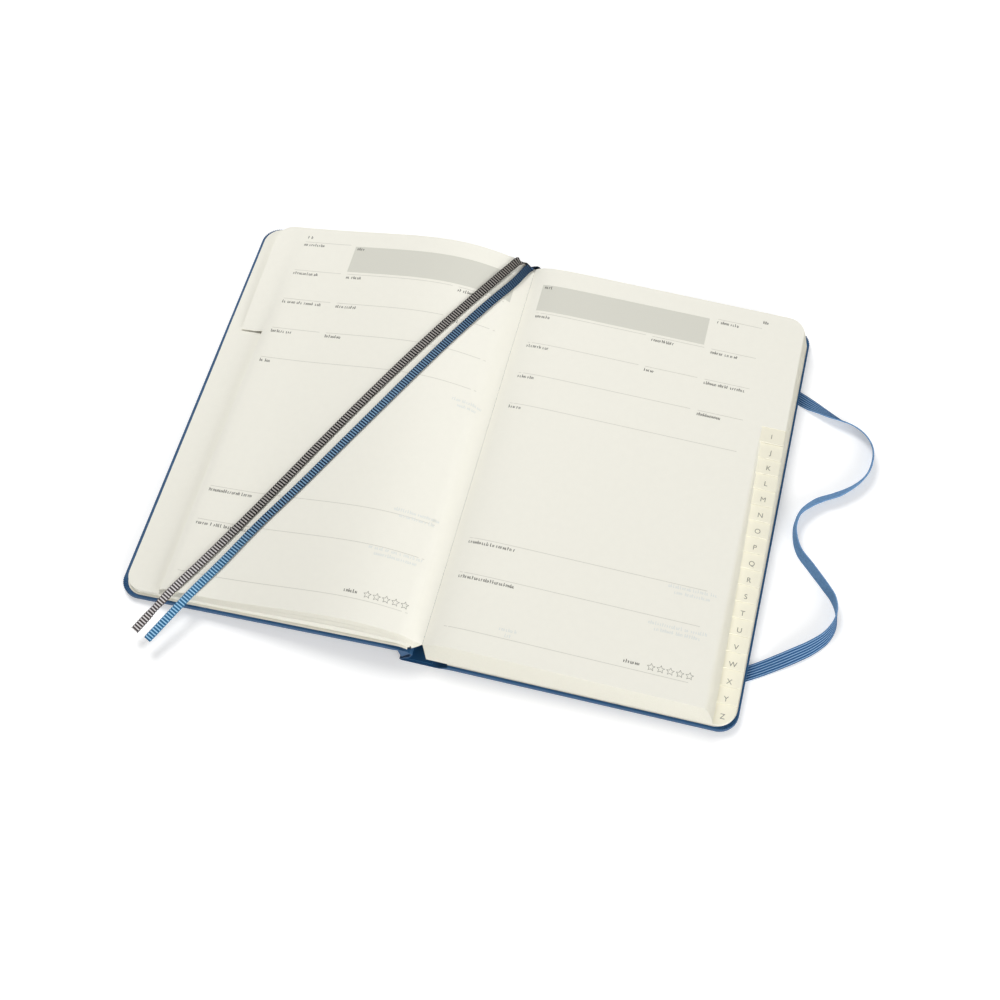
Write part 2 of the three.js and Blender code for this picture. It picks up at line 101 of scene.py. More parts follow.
def placeCamera():
    azimuth, elevation, roll = (math.radians(camera[k]) for k in ("azimuth", "elevation", "roll"))
    back = Vector((math.sin(azimuth) * math.cos(elevation),
                   -math.cos(azimuth) * math.cos(elevation), math.sin(elevation)))
    side = Vector((0, 0, 1)).cross(back).normalized()
    over = back.cross(side)
    right = math.cos(roll) * side + math.sin(roll) * over
    up = -math.sin(roll) * side + math.cos(roll) * over
    data = bpy.data.cameras.new("camera")
    data.sensor_width = camera["sensor"]
    data.lens = camera["focalWidths"] * camera["sensor"]
    data.clip_start = 0.01
    eye = bpy.data.objects.new("camera", data)
    turn = Matrix((right, up, back)).transposed().to_4x4()
    eye.matrix_world = Matrix.Translation(Vector(camera["place"]) * mm) @ turn
    bpy.context.scene.collection.objects.link(eye)
    bpy.context.scene.camera = eye


placeCamera()


def finishPiece(bm, name, materials, body, nodes, sharp=35):
    bmesh.ops.recalc_face_normals(bm, faces=bm.faces)
    bmesh.ops.scale(bm, vec=(mm, mm, mm), verts=bm.verts)
    mesh = bpy.data.meshes.new(name)
    bm.to_mesh(mesh)
    bm.free()
    for material in materials:
        mesh.materials.append(material)
    mesh.shade_smooth()
    mesh.set_sharp_from_angle(angle=math.radians(sharp))
    piece = bpy.data.objects.new(name, mesh)
    bpy.context.scene.collection.objects.link(piece)
    if body:
        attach(piece, body)
    if nodes:
        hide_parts(*nodes)
    return piece


# The case, as the CAD has it
case = {"height": 210, "board": 124.8, "corner": 8.6, "thick": 2.8, "tilt": math.radians(4.1),
        "foldSlack": 1.2, "lining": 0.2, "gap": 0.05, "spine": 15, "joint": 6, "cloth": 0.4,
        "raised": 0.9}
spread = case["spine"] / 2 + case["joint"] + case["board"]
frontForeEdge = spread - case["foldSlack"] - case["thick"] * math.sin(case["tilt"])
coverTop = case["thick"] + case["gap"] + case["lining"]
pocket = {"card": 0.3, "stack": 0.65}
pocketTop = case["raised"] + coverTop + case["gap"] + pocket["stack"] + case["gap"] + pocket["card"]

# The leaves
page = {"height": 203.8, "corner": 8, "rows": 26, "onTheLeft": 8, "tab": 11, "tabAtFoot": 8.8,
        "sheet": 0.18, "gap": 0.05, "air": 0.015, "slip": 2.3, "gutterX": 2.3, "gutterZ": 14.8}
rowPitch = page["height"] / page["rows"]
pageHalf = page["height"] / 2
rightLeaves = {"foot": 4, "endLeaves": 0.7, "foreTop": 134.3, "foreBottom": 136.8,
               "rise": 4.4, "reach": 5.5, "fall": 3.9, "bulge": 0.4,
               "base": pocketTop + page["gap"]}
leftLeaves = {"flyleaf": 0.2, "matter": 2.9, "section": 0.37, "sewnBack": 6.5,
              "fan": {"flyleaf": (0.02, 0.03), "frontMatter": (0.07, 0.44), "early": (0.47, 0.7),
                      "late": (0.735, 0.99), "leftPage": (0.99, 1)},
              "foreFlyleaf": 134.6, "foreMatter": 134.4, "foreSections": (128.6, 127.8),
              "droop": 0.8, "droopReach": 3.4, "droopFade": 6,
              "sagFade": 12, "sagBefore": 5, "sagReach": 8, "roll": 8,
              "head": (9.3, 45, 140, 6), "tail": (6.5, 40, 95, 3)}
matterTop = leftLeaves["flyleaf"] + leftLeaves["matter"]
leftHeight = matterTop + page["onTheLeft"] * leftLeaves["section"] + page["sheet"]


def rightTop(x, y=0):
    s = max(x - page["gutterX"], 0)
    rise = rightLeaves["rise"] * (1 - math.exp(-s / rightLeaves["reach"]))
    return page["gutterZ"] + rise - rightLeaves["fall"] * s / (spread - page["gutterX"])


def rightAt(share):
    base = rightLeaves["base"]
    return lambda x, y: base + (rightTop(x, y) - base) * share


def frontFace(x, depth):
    return (x + frontForeEdge) * math.tan(case["tilt"]) + depth / math.cos(case["tilt"])


def leftBase(x):
    roll = leftLeaves["roll"]
    t = min(max((x + roll) / (roll + page["gutterX"]), 0), 1)
    drop = frontFace(page["gutterX"], coverTop) + page["gap"] + leftHeight - page["gutterZ"]
    return frontFace(x, coverTop) + page["gap"] - drop * t * t * (3 - 2 * t)


def archLift(x, height, crest, reach, power):
    s = max(page["gutterX"] - x, 0)
    r = s / crest
    return height * (r * math.exp(1 - r)) ** 2 * max(0, 1 - (s / reach) ** power)


def leftAt(depth, lift):
    def surface(x, y):
        head = min(max(y / page["height"] + 0.5, 0), 1)
        arch = (archLift(x, *leftLeaves["tail"]) * (1 - head)
                + archLift(x, *leftLeaves["head"]) * head)
        # where the index is cut away, the leaves droop a little towards their cut edge
        cut = -leftLeaves["foreSections"][1] + page["tab"]
        near = max(1 - max(x - cut, 0) / leftLeaves["droopReach"], 0) ** 2
        foot = pageHalf - page["onTheLeft"] * rowPitch
        below = min(max((foot - y) / leftLeaves["droopFade"], 0), 1)
        droop = leftLeaves["droop"] * near * below * depth / leftHeight
        # over the rows that are cut out under it, the index sinks
        rows = min(max((pageHalf - y) / rowPitch - 1, 0), page["onTheLeft"] - 1)
        rows *= min(max(1 - (foot - y) / leftLeaves["sagFade"], 0), 1)
        over = min(max((cut + leftLeaves["sagBefore"] - x) / leftLeaves["sagReach"], 0), 1)
        above = max(depth - matterTop, 0) / (leftHeight - matterTop)
        sag = leftLeaves["section"] * rows * over * over * (3 - 2 * over) * above
        return leftBase(x) + depth + lift * arch - droop - sag
    return surface


# Smooth route through a few points, with anything beyond x, y, z carried along
def smoothRoute(points, step):
    points = [np.array(p, float) for p in points]
    ends = [2 * points[0] - points[1], *points, 2 * points[-1] - points[-2]]
    dense = []
    for p0, p1, p2, p3 in zip(ends, ends[1:], ends[2:], ends[3:]):
        d0, d1, d2 = (max(np.linalg.norm((b - a)[:3]), 1e-6) ** 0.5
                      for a, b in ((p0, p1), (p1, p2), (p2, p3)))
        t1 = ((p1 - p0) / d0 - (p2 - p0) / (d0 + d1) + (p2 - p1) / d1) * d1
        t2 = ((p2 - p1) / d1 - (p3 - p1) / (d1 + d2) + (p3 - p2) / d2) * d1
        t1[3:], t2[3:] = (p2 - p1)[3:], (p2 - p1)[3:]
        for t in np.linspace(0, 1, 24, endpoint=False):
            dense.append(p1 + t1 * t + (3 * (p2 - p1) - 2 * t1 - t2) * t ** 2
                         + (2 * (p1 - p2) + t1 + t2) * t ** 3)
    dense.append(points[-1])
    dense = np.array(dense)
    run = np.concatenate([[0], np.cumsum(np.linalg.norm(np.diff(dense[:, :3], axis=0), axis=1))])
    at = np.linspace(0, run[-1], int(run[-1] / step) + 1)
    even = np.stack([np.interp(at, run, dense[:, k]) for k in range(dense.shape[1])], 1)
    return even, run[-1]


# A woven band along a route: columns run across it, ribs(across, along) lifts both faces and
# picot(along) widens it. Its back and sides have the second material.
def wovenBand(route, length, width, thickness, columns, acrossAt, ribs, picot):
    bm = bmesh.new()
    bmesh.ops.create_grid(bm, x_segments=columns, y_segments=len(route) - 1, size=0.5)
    top = bm.verts[:]
    grown = bmesh.ops.extrude_face_region(bm, geom=bm.faces[:])["geom"]
    bottom = [v for v in grown if isinstance(v, bmesh.types.BMVert)]
    for v in bottom:
        v.co.z = -1
    uv = bm.loops.layers.uv.new("band")
    for face in bm.faces:
        for loop in face.loops:
            co = loop.vert.co
            loop[uv].uv = ((co.x + 0.5) * width / 10, (co.y + 0.5) * length / 10)
        face.material_index = 1 if face.calc_center_median().z < -0.4 else 0
    along = np.gradient(route[:, :3], axis=0)
    frames = []
    for i, point in enumerate(route):
        ahead = Vector(along[i]).normalized()
        across = acrossAt(point, ahead)
        across = (across - across.dot(ahead) * ahead).normalized()
        frames.append((Vector(point[:3]), across, across.cross(ahead).normalized()))
    for v in top + bottom:
        row = round((v.co.y + 0.5) * (len(route) - 1))
        centre, across, up = frames[row]
        u, face = v.co.x, 1 if v.co.z > -0.5 else -1
        run = row * length / (len(route) - 1)
        rise = face * (thickness / 2 + ribs(u * width, run))
        v.co = centre + across * (u * width * picot(run)) + up * rise
    return bm


# Woven elastic, polyester over rubber: satin. Its face has ribs, and the thin lines where they
# catch the light are painted on as a painted highlight; its back is smooth and paler, with rows of
# fine stitches.
def elasticFace():
    material, tree, shader = startMaterial("ribbedElastic", 0.65, Specular_IOR_Level=0.2)
    uv = addNode(tree, "ShaderNodeUVMap", uv_map="band")
    split = addNode(tree, "ShaderNodeSeparateXYZ", {0: uv.outputs[0]})
    # the map holds centimetres
    turns = elastic["ribs"] * 20 * math.pi / elastic["width"]
    ribs = addNode(tree, "ShaderNodeMath", {0: split.outputs[0], 1: turns}, operation="MULTIPLY")
    wave = addNode(tree, "ShaderNodeMath", {0: ribs.outputs[0]}, operation="COSINE")
    rise = addNode(tree, "ShaderNodeMapRange", {0: wave.outputs[0], 1: -0.5, 2: -1.0})
    # weft threads of 0.6 mm
    picks = addNode(tree, "ShaderNodeMath", {0: split.outputs[1], 1: 2 * math.pi / 0.06},
                    operation="MULTIPLY")
    weft = addNode(tree, "ShaderNodeMath", {0: picks.outputs[0]}, operation="SINE")
    # painted highlight: thin pale blue lines across the dark blue face
    colour = addNode(tree, "ShaderNodeMix", {0: rise.outputs[0], 6: linear("#2a5684"),
                                             7: linear("#9cc0e2")}, data_type="RGBA")
    tree.links.new(colour.outputs[2], shader.inputs["Base Color"])
    height = addNode(tree, "ShaderNodeMath", {0: weft.outputs[0], 1: 0.15, 2: wave.outputs[0]},
                     operation="MULTIPLY_ADD")
    bump = addNode(tree, "ShaderNodeBump", {"Strength": 0.5, "Distance": 0.0001,
                                            "Height": height.outputs[0]})
    tree.links.new(bump.outputs[0], shader.inputs["Normal"])
    return material


def elasticBack():
    material, tree, shader = startMaterial("smoothElastic", 0.7, Specular_IOR_Level=0.2)
    where = addNode(tree, "ShaderNodeTexCoord")
    # stitches of 0.7 mm
    stitch = addNode(tree, "ShaderNodeTexVoronoi", {"Vector": where.outputs["Object"],
                                                    "Scale": 1400}, feature="F1")
    colour = addNode(tree, "ShaderNodeMix", {0: stitch.outputs["Distance"], 6: linear("#779fc8"),
                                             7: linear("#5b84b0")}, data_type="RGBA")
    tree.links.new(colour.outputs[2], shader.inputs["Base Color"])
    bump = addNode(tree, "ShaderNodeBump", {"Strength": 0.3, "Distance": 0.0001,
                                            "Height": stitch.outputs["Distance"]})
    tree.links.new(bump.outputs[0], shader.inputs["Normal"])
    return material


# The route gives x from the back cover's fore-edge, y, height and lean in degrees
elastic = {"width": 6.5, "thick": 0.55, "ribs": 6, "route": [
    (-3.8, 70.1, 0.43, 0), (2.4, 67.2, 0.43, 0), (6.4, 65.2, 0.9, 8), (10.1, 63.4, 1.7, 24),
    (15.9, 60.9, 2.3, 40), (20.4, 59.3, 2.7, 54), (25.9, 57.8, 3.1, 57), (31.5, 54.8, 3.2, 60),
    (35.6, 50.1, 3.3, 67), (37.5, 44.4, 3.3, 81), (36.8, 34.7, 3.3, 97), (32.6, 27, 3.1, 114),
    (25, 19.7, 2.9, 132), (17.3, 14.7, 2.8, 134), (11.9, 8.9, 3.1, 122), (9.2, 3.2, 3.3, 100),
    (8.9, -4.2, 3.3, 94), (12.1, -13.2, 3.3, 97), (18.6, -20.2, 3.3, 100),
    (25.6, -27.5, 3.3, 99), (30.5, -33.2, 3.3, 95), (32.8, -39.3, 3.3, 86),
    (32.7, -45.5, 3.2, 71), (30.2, -51.7, 3, 57), (25, -57.7, 2.7, 42), (17.1, -64, 2, 24),
    (8.2, -70.2, 0.66, 4), (2.6, -74, 0.43, 0), (-4.5, -78.5, 0.43, 0)]}
elasticWeave = [elasticFace(), elasticBack()]


def makeElastic():
    points = [(x + spread, y, z, lean) for x, y, z, lean in elastic["route"]]
    route, length = smoothRoute(points, 0.8)

    def across(point, ahead):
        lean = math.radians(point[3])
        beside = Vector((ahead.y, -ahead.x, 0)).normalized()
        return beside * math.cos(lean) + Vector((0, 0, math.sin(lean)))

    def ribs(u, v):
        return 0.05 * math.cos(u * elastic["ribs"] * 2 * math.pi / elastic["width"]) - 0.05

    bm = wovenBand(route, length, elastic["width"], elastic["thick"], 36, across, ribs, lambda v: 1)
    loop = finishPiece(bm, "elasticLoop", elasticWeave, "back_cover", ["elastic_loop"])
    print("elastic loop:", round(length), "mm")


makeElastic()


# Grosgrain, a rayon ribbon with weft ribs: each rib is painted as a light thread beside a dark gap,
# a painted highlight beside painted shade, and the selvages are dark. Its colours pale from the
# head of the book to the tail, a painted reflection of the rayon's sheen.
def grosgrain(name, darks, lights, selvage):
    material, tree, shader = startMaterial(name, 0.6, Specular_IOR_Level=0.15)
    uv = addNode(tree, "ShaderNodeUVMap", uv_map="band")
    split = addNode(tree, "ShaderNodeSeparateXYZ", {0: uv.outputs[0]})
    # the map holds centimetres, and a ribbon is about 27 long
    pitch = 2 * math.pi * 10 / ribbon["pitch"]
    turns = addNode(tree, "ShaderNodeMath", {0: split.outputs[1], 1: pitch}, operation="MULTIPLY")
    wave = addNode(tree, "ShaderNodeMath", {0: turns.outputs[0]}, operation="COSINE")
    # painted highlight on each rib and painted shade in the gap beside it
    ribHighlightAndShade = addNode(tree, "ShaderNodeMapRange", {0: wave.outputs[0], 1: 0.05, 2: 0.55})
    # painted reflection: the colours pale from the head to the middle, and again towards the tail
    first = addNode(tree, "ShaderNodeMapRange", {0: split.outputs[1], 1: 0.5, 2: 11.5})
    second = addNode(tree, "ShaderNodeMapRange", {0: split.outputs[1], 1: 19.5, 2: 24.3})
    shades = []
    for head, middle, tail in (darks, lights):
        upper = addNode(tree, "ShaderNodeMix", {0: first.outputs[0], 6: linear(head),
                                                7: linear(middle)}, data_type="RGBA")
        lower = addNode(tree, "ShaderNodeMix", {0: second.outputs[0], 6: upper.outputs[2],
                                                7: linear(tail)}, data_type="RGBA")
        shades.append(lower.outputs[2])
    ribbed = addNode(tree, "ShaderNodeMix", {0: ribHighlightAndShade.outputs[0], 6: shades[0], 7: shades[1]},
                     data_type="RGBA")
    offset = addNode(tree, "ShaderNodeMath", {0: split.outputs[0], 1: ribbon["width"] / 20},
                     operation="SUBTRACT")
    away = addNode(tree, "ShaderNodeMath", {0: offset.outputs[0]}, operation="ABSOLUTE")
    border = addNode(tree, "ShaderNodeMapRange", {0: away.outputs[0], 1: 0.158, 2: 0.182,
                                                  3: 0, 4: selvage})
    edged = addNode(tree, "ShaderNodeMix", {0: border.outputs[0], 6: ribbed.outputs[2],
                                            7: shades[0]}, data_type="RGBA")
    tree.links.new(edged.outputs[2], shader.inputs["Base Color"])
    return material


# The routes give x, y and the height over the page. The real ribs have a pitch of 1.17 mm; they
# are drawn a little coarser, so that they show.
ribbon = {"width": 4, "thick": 0.3, "pitch": 1.35,
          "grey": [(1.3, 102.3, -8.2), (0.5, 102.4, -4.8), (-3.2, 102.5, -1.4), (-5.5, 101, 0.75),
                   (-8.1, 95.9, 0.75), (-15.1, 81.8, 0.7), (-29.9, 52.6, 0.7), (-43.5, 26.7, 0.7),
                   (-56.4, 2.7, 0.7), (-68.6, -20.4, 0.7), (-80.1, -43, 0.75), (-91.7, -65.3, 0.75),
                   (-103.2, -87.8, 0.75), (-111, -102, 0.3), (-121.5, -122.2, -2.3)],
          "blue": [(4.8, 104.2, -9), (3.6, 104.4, -5.4), (1.9, 103.9, -1), (-0.3, 101.2, 0.8),
                   (-4.8, 88.3, 0.8), (-12.1, 73, 0.75), (-19.3, 58.1, 0.7), (-33, 29.8, 0.7),
                   (-45.8, 4.4, 0.7), (-58.4, -19.2, 0.7), (-70.6, -41.7, 0.7),
                   (-83.3, -64.1, 0.75), (-94.2, -86, 0.75), (-101.8, -100.6, 0.3),
                   (-114.3, -125.4, -2.4)]}


# How the leaves on the front cover would flatten as it shuts, by cluster: the height over the
# board, and the share of the room that is kept. Nothing here flattens them; a cluster with numbers
# only gets a mesh of its own.
shutting = [None, (2.4, 0.45), (5.4, 0.2)]


def flatten(piece, cluster):
    if shutting[cluster]:
        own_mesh(piece)


def makeRibbon(colour, material):
    surface = leftAt(leftHeight, 1)
    points = [(x, y, surface(x, y) + rise) for x, y, rise in ribbon[colour]]
    route, length = smoothRoute(points, 0.13)

    # across the ribbon: over the page, and where it hangs down behind the head edge
    def across(point, ahead):
        x, y = point[0], point[1]
        slopeX = (surface(x + 1, y) - surface(x - 1, y)) / 2
        slopeY = (surface(x, y + 1) - surface(x, y - 1)) / 2
        flat = Vector((0.89, -0.45, 0.89 * slopeX - 0.45 * slopeY))
        return flat.lerp(Vector((0.89, 0, 0.45)), min(max(y - pageHalf + 0.5, 0), 1))

    def wave(v):
        return math.cos(v * 2 * math.pi / ribbon["pitch"])

    bm = wovenBand(route, length, ribbon["width"], ribbon["thick"], 6, across,
                   lambda u, v: 0.06 * wave(v) - 0.06, lambda v: 1 + 0.03 * wave(v))
    name = "ribbon_" + colour
    band = finishPiece(bm, colour + "Ribbon", [material, material], "front_cover", [name])
    flatten(band, 2)
    print(colour, "ribbon:", round(length), "mm")


# colours run head, middle, tail: the paler tail is a painted reflection, and the second tuple holds
# the painted highlights on the ribs
makeRibbon("grey", grosgrain("greyGrosgrain", ("#060505", "#1b1817", "#4a4444"),
                             ("#8a857e", "#b0aba7", "#e2dede"), 0.9))
makeRibbon("blue", grosgrain("blueGrosgrain", ("#04101f", "#0f2a45", "#2a6690"),
                             ("#365272", "#80a4c2", "#a2d2f2"), 0.6))


# Wood-free ivory paper: matt, with a faint fibre that shows only close to. A cut edge is painted
# paler, a painted highlight, and shows its sheets one by one as dark lines of painted shade between
# them; depth runs from 0 to 1 through the stack.
def paperMaterial(name, colour, sheets=0):
    material, tree, shader = startMaterial(name, 0.9, Specular_IOR_Level=0.2)
    where = addNode(tree, "ShaderNodeTexCoord")
    # 3 mm clouds, up to 3 per cent darker
    cloud = addNode(tree, "ShaderNodeTexNoise", {"Vector": where.outputs["Object"], "Scale": 330,
                                                 "Detail": 3})
    low = [c * 0.97 for c in linear(colour)[:3]] + [1]
    tone = addNode(tree, "ShaderNodeMix", {0: cloud.outputs[0], 6: low, 7: linear(colour)},
                   data_type="RGBA")
    last = tone.outputs[2]
    if sheets:
        depth = addNode(tree, "ShaderNodeAttribute", attribute_name="depth")
        turns = addNode(tree, "ShaderNodeMath", {0: depth.outputs["Fac"], 1: sheets * 2 * math.pi},
                        operation="MULTIPLY")
        wave = addNode(tree, "ShaderNodeMath", {0: turns.outputs[0]}, operation="COSINE")
        # painted shade: a darker line between each pair of sheets on the cut edge
        sheetGapShade = addNode(tree, "ShaderNodeMapRange", {0: wave.outputs[0], 1: -0.2, 2: -1.0,
                                                      3: 0, 4: 0.45})
        edge = addNode(tree, "ShaderNodeMix", {0: sheetGapShade.outputs[0], 6: last, 7: linear("#ddd8c4")},
                       data_type="RGBA")
        last = edge.outputs[2]
    tree.links.new(last, shader.inputs["Base Color"])
    # fibres of 0.4 mm
    fibre = addNode(tree, "ShaderNodeTexNoise", {"Vector": where.outputs["Object"], "Scale": 2500,
                                                 "Detail": 2})
    bump = addNode(tree, "ShaderNodeBump", {"Strength": 0.12, "Distance": 0.00005,
                                            "Height": fibre.outputs[0]})
    tree.links.new(bump.outputs[0], shader.inputs["Normal"])
    return material


ivoryPaper = paperMaterial("ivoryPaper", "#f2f0e5")
tabPaper = paperMaterial("tintedIndexPaper", "#f0ecd9")
endPaper = paperMaterial("ivoryEndpaper", "#f2efe3")
# the cut edges are painted paler than the page: a painted highlight for the light on them
cutSheet = paperMaterial("cutIvoryPaper", "#faf8ec")
cutSection = paperMaterial("cutSectionPaper", "#faf8ec", sheets=2)
cutBlock = paperMaterial("cutBlockPaper", "#faf8ec", sheets=14)


# A leaf or a stack of leaves between two surfaces. The plan is cut into columns and rows
# that bend with the surfaces; below its own index row a leaf loses the depth of a tab. slip is
# how far the leaf has slid out at the tail, and back how much further back its lower side is
# sewn. Materials: the page, the tinted tab and the cut edges.
def leafSolid(side, inner, outer, letter, depth, low, high, columns, rows, slip, back):
    bm = bmesh.new()
    tail = -pageHalf - slip
    foot = pageHalf - (letter + 1) * rowPitch
    cut = outer - side * depth
    if letter >= page["rows"] - 1:
        corners = [(inner, tail), (outer, tail), (outer, pageHalf), (inner, pageHalf)]
        rounded = [1, 2]
    else:
        corners = [(inner, tail), (cut, tail), (cut, foot), (outer, foot),
                   (outer, pageHalf), (inner, pageHalf)]
        rounded = [4]
    radius = min(page["corner"], (letter + 1) * rowPitch - 0.3)
    verts = [bm.verts.new((x, y, 1)) for x, y in corners]
    bm.faces.new(verts)
    bmesh.ops.bevel(bm, geom=[verts[i] for i in rounded], offset=radius, segments=8,
                    profile=0.5, affect="VERTICES", material=-1)
    grown = bmesh.ops.extrude_face_region(bm, geom=bm.faces[:])["geom"]
    for v in grown:
        if isinstance(v, bmesh.types.BMVert):
            v.co.z = 0
    for x in [*columns, cut]:
        if min(inner, outer) + 0.05 < x < max(inner, outer) - 0.05:
            bmesh.ops.bisect_plane(bm, geom=bm.verts[:] + bm.edges[:] + bm.faces[:],
                                   plane_co=(x, 0, 0), plane_no=(1, 0, 0))
    for y in [pageHalf * (2 * i / rows - 1) for i in range(1, rows)] + [foot + rowPitch]:
        bmesh.ops.bisect_plane(bm, geom=bm.verts[:] + bm.edges[:] + bm.faces[:],
                               plane_co=(0, y, 0), plane_no=(0, 1, 0))
    layer = bm.verts.layers.float.new("depth")
    bm.normal_update()
    for face in bm.faces:
        middle = face.calc_center_median()
        tab = side * (middle.x - cut) > 0 and middle.y < foot + rowPitch
        face.material_index = 2 if abs(face.normal.z) < 0.5 else 1 if tab else 0
    for v in bm.verts:
        v[layer] = v.co.z
        x, y = v.co.x, v.co.y
        bottom = low(x, y)
        if v.co.z < 0.5 and abs(x - inner) < 0.01:
            v.co.x += side * back
        v.co.z = bottom + (high(x, y) - bottom) * v.co.z
    return bm


def rightColumns(count):
    wide = spread - page["gutterX"]
    return [page["gutterX"] + wide * (i / count) ** 1.7 for i in range(1, count)]


def leftColumns(count):
    wide = spread + page["gutterX"]
    return [page["gutterX"] - wide * (i / count) ** 1.15 for i in range(1, count)]


letters = "abcdefghijklmnopqrstuvwxyz"
stackFull = page["gutterZ"] - rightLeaves["base"]
sheetShare = (page["sheet"] + page["gap"]) / stackFull
sectionShare = [rightLeaves["endLeaves"] / stackFull, 1 - 2 * sheetShare]


def foreEdgeAt(share):
    even = rightLeaves["foreBottom"] + (rightLeaves["foreTop"] - rightLeaves["foreBottom"]) * share
    return even + 4 * rightLeaves["bulge"] * share * (1 - share)


def tabAt(share):
    return page["tabAtFoot"] + (page["tab"] - page["tabAtFoot"]) * share ** 2


def makeRightLeaves():
    def add(name, node, body, low, high, letter, materials, count, rows):
        spine = rightLeaves["foot"] + (page["gutterX"] - rightLeaves["foot"]) * low
        bm = leafSolid(1, spine, foreEdgeAt(low), letter, tabAt(low), rightAt(low),
                       rightAt(high - page["air"] / stackFull), rightColumns(count), rows,
                       page["slip"] * (1 - high), 0)
        finishPiece(bm, name, materials, body, [node])

    low, high = sectionShare
    add("endLeaves", "end_leaves", "back_leaves", 0, low, page["rows"] - 1,
        [endPaper, endPaper, cutSection], 30, 1)
    count = page["rows"] - page["onTheLeft"]
    for i in range(count):
        letter = page["rows"] - 1 - i
        body = "back_leaves" if letter > letters.index("q") else "index_leaves"
        share = [low + (high - low) * k / count for k in (i, i + 1)]
        add("section" + letters[letter].upper(), "section_" + letters[letter], body, *share,
            letter, [ivoryPaper, tabPaper, cutSection], 30, 1)
    add("firstLeafI", "first_leaf_i", "leaf_i", high, high + sheetShare, page["onTheLeft"],
        [ivoryPaper, tabPaper, cutSheet], 48, 6)
    add("rightPage", "right_page_leaf", "right_leaf", high + sheetShare, 1, page["onTheLeft"] - 1,
        [ivoryPaper, ivoryPaper, cutSheet], 60, 12)


def sectionFan(letter):
    low, high = leftLeaves["fan"]["late" if letter >= page["onTheLeft"] / 2 else "early"]
    step = (high - low) / (page["onTheLeft"] / 2)
    place = letter % (page["onTheLeft"] // 2)
    return low + step * place, low + step * (place + 1)


# from the cover upwards: name, node, thickness, cluster, letter, fore-edge and cut edge
def makeLeftLeaves():
    depth, last = 0, page["rows"] - 1
    stack = [("flyleaf", "front_flyleaf", leftLeaves["flyleaf"], 0, last,
              leftLeaves["foreFlyleaf"], cutSheet),
             ("frontMatter", "front_matter", leftLeaves["matter"], 1, last,
              leftLeaves["foreMatter"], cutBlock)]
    low, high = leftLeaves["foreSections"]
    for letter in range(page["onTheLeft"]):
        cluster = 1 if letter < page["onTheLeft"] / 2 else 2
        fore = low + (high - low) * letter / page["onTheLeft"]
        stack.append(("section" + letters[letter].upper(), "section_" + letters[letter],
                      leftLeaves["section"], cluster, letter, fore, cutSection))
    stack.append(("leftPage", "left_page_leaf", page["sheet"], 2, page["onTheLeft"] - 1, high,
                  cutSheet))
    for name, node, thick, cluster, letter, fore, edge in stack:
        # the page on top reaches the gutter, the leaves under it are sewn further and further back
        inner = page["gutterX"] - 0.03 - leftLeaves["sewnBack"] * (1 - (depth + thick) / leftHeight)
        # the leaves fan out and fill the room between the clusters
        under, lift = leftLeaves["fan"][name] if name in leftLeaves["fan"] else sectionFan(letter)
        bm = leafSolid(-1, inner, -fore, letter, page["tab"], leftAt(depth, under),
                       leftAt(depth + thick - page["air"], lift), leftColumns(56), 10,
                       page["slip"] * (1 - (depth + thick) / leftHeight),
                       leftLeaves["sewnBack"] * thick / leftHeight)
        paper = endPaper if node == "front_flyleaf" else ivoryPaper
        leaf = finishPiece(bm, name, [paper, paper, edge], "front_cover", [node])
        flatten(leaf, cluster)
        depth += thick


makeRightLeaves()
makeLeftLeaves()
print("leaves done")


# Polyurethane leatherette on paper: satin, pressed with a fine grain, with broad darker clouds
def leatherette(name, colour, hollow):
    material, tree, shader = startMaterial(name, 0.5, Specular_IOR_Level=0.4)
    where = addNode(tree, "ShaderNodeTexCoord")
    # grain of 0.5 mm, coarser than the real 0.3 mm so that it shows
    grain = addNode(tree, "ShaderNodeTexVoronoi", {"Vector": where.outputs["Object"],
                                                   "Scale": 2000}, feature="F1")
    # clouds of 11 mm
    drift = addNode(tree, "ShaderNodeTexNoise", {"Vector": where.outputs["Object"], "Scale": 90,
                                                 "Detail": 4})
    mixed = addNode(tree, "ShaderNodeMapRange", {0: drift.outputs[0], 1: 0.3, 2: 0.7,
                                                 3: 0.0, 4: 0.35})
    clouded = addNode(tree, "ShaderNodeMix", {0: mixed.outputs[0], 6: linear(colour),
                                              7: linear(hollow)}, data_type="RGBA")
    tree.links.new(clouded.outputs[2], shader.inputs["Base Color"])
    bump = addNode(tree, "ShaderNodeBump", {"Strength": 0.35, "Distance": 0.0001,
                                            "Height": grain.outputs["Distance"]})
    tree.links.new(bump.outputs[0], shader.inputs["Normal"])
    return material


coverSkin = leatherette("blueLeatherette", "#27557f", "#1d4468")
navyLining = leatherette("navySpineLining", "#1d4f78", "#173f63")


# One half of the case: board and cloth as one slab with a soft edge, and the paper lining on it.
# place turns millimetres of the cover's own frame into the row's. At the two outer corners the
# cloth that is turned in lies in small pleats.
cover = {"edge": 0.4, "pleats": 13, "pleatRise": 0.24, "pleatReach": 3.4, "pleatFrom": 5,
         "liningInset": 1, "liningCorner": 9.5, "frontLiningInset": 2.2, "slotAcross": 13.5,
         "slotAlong": 26, "slotWide": 1.4}


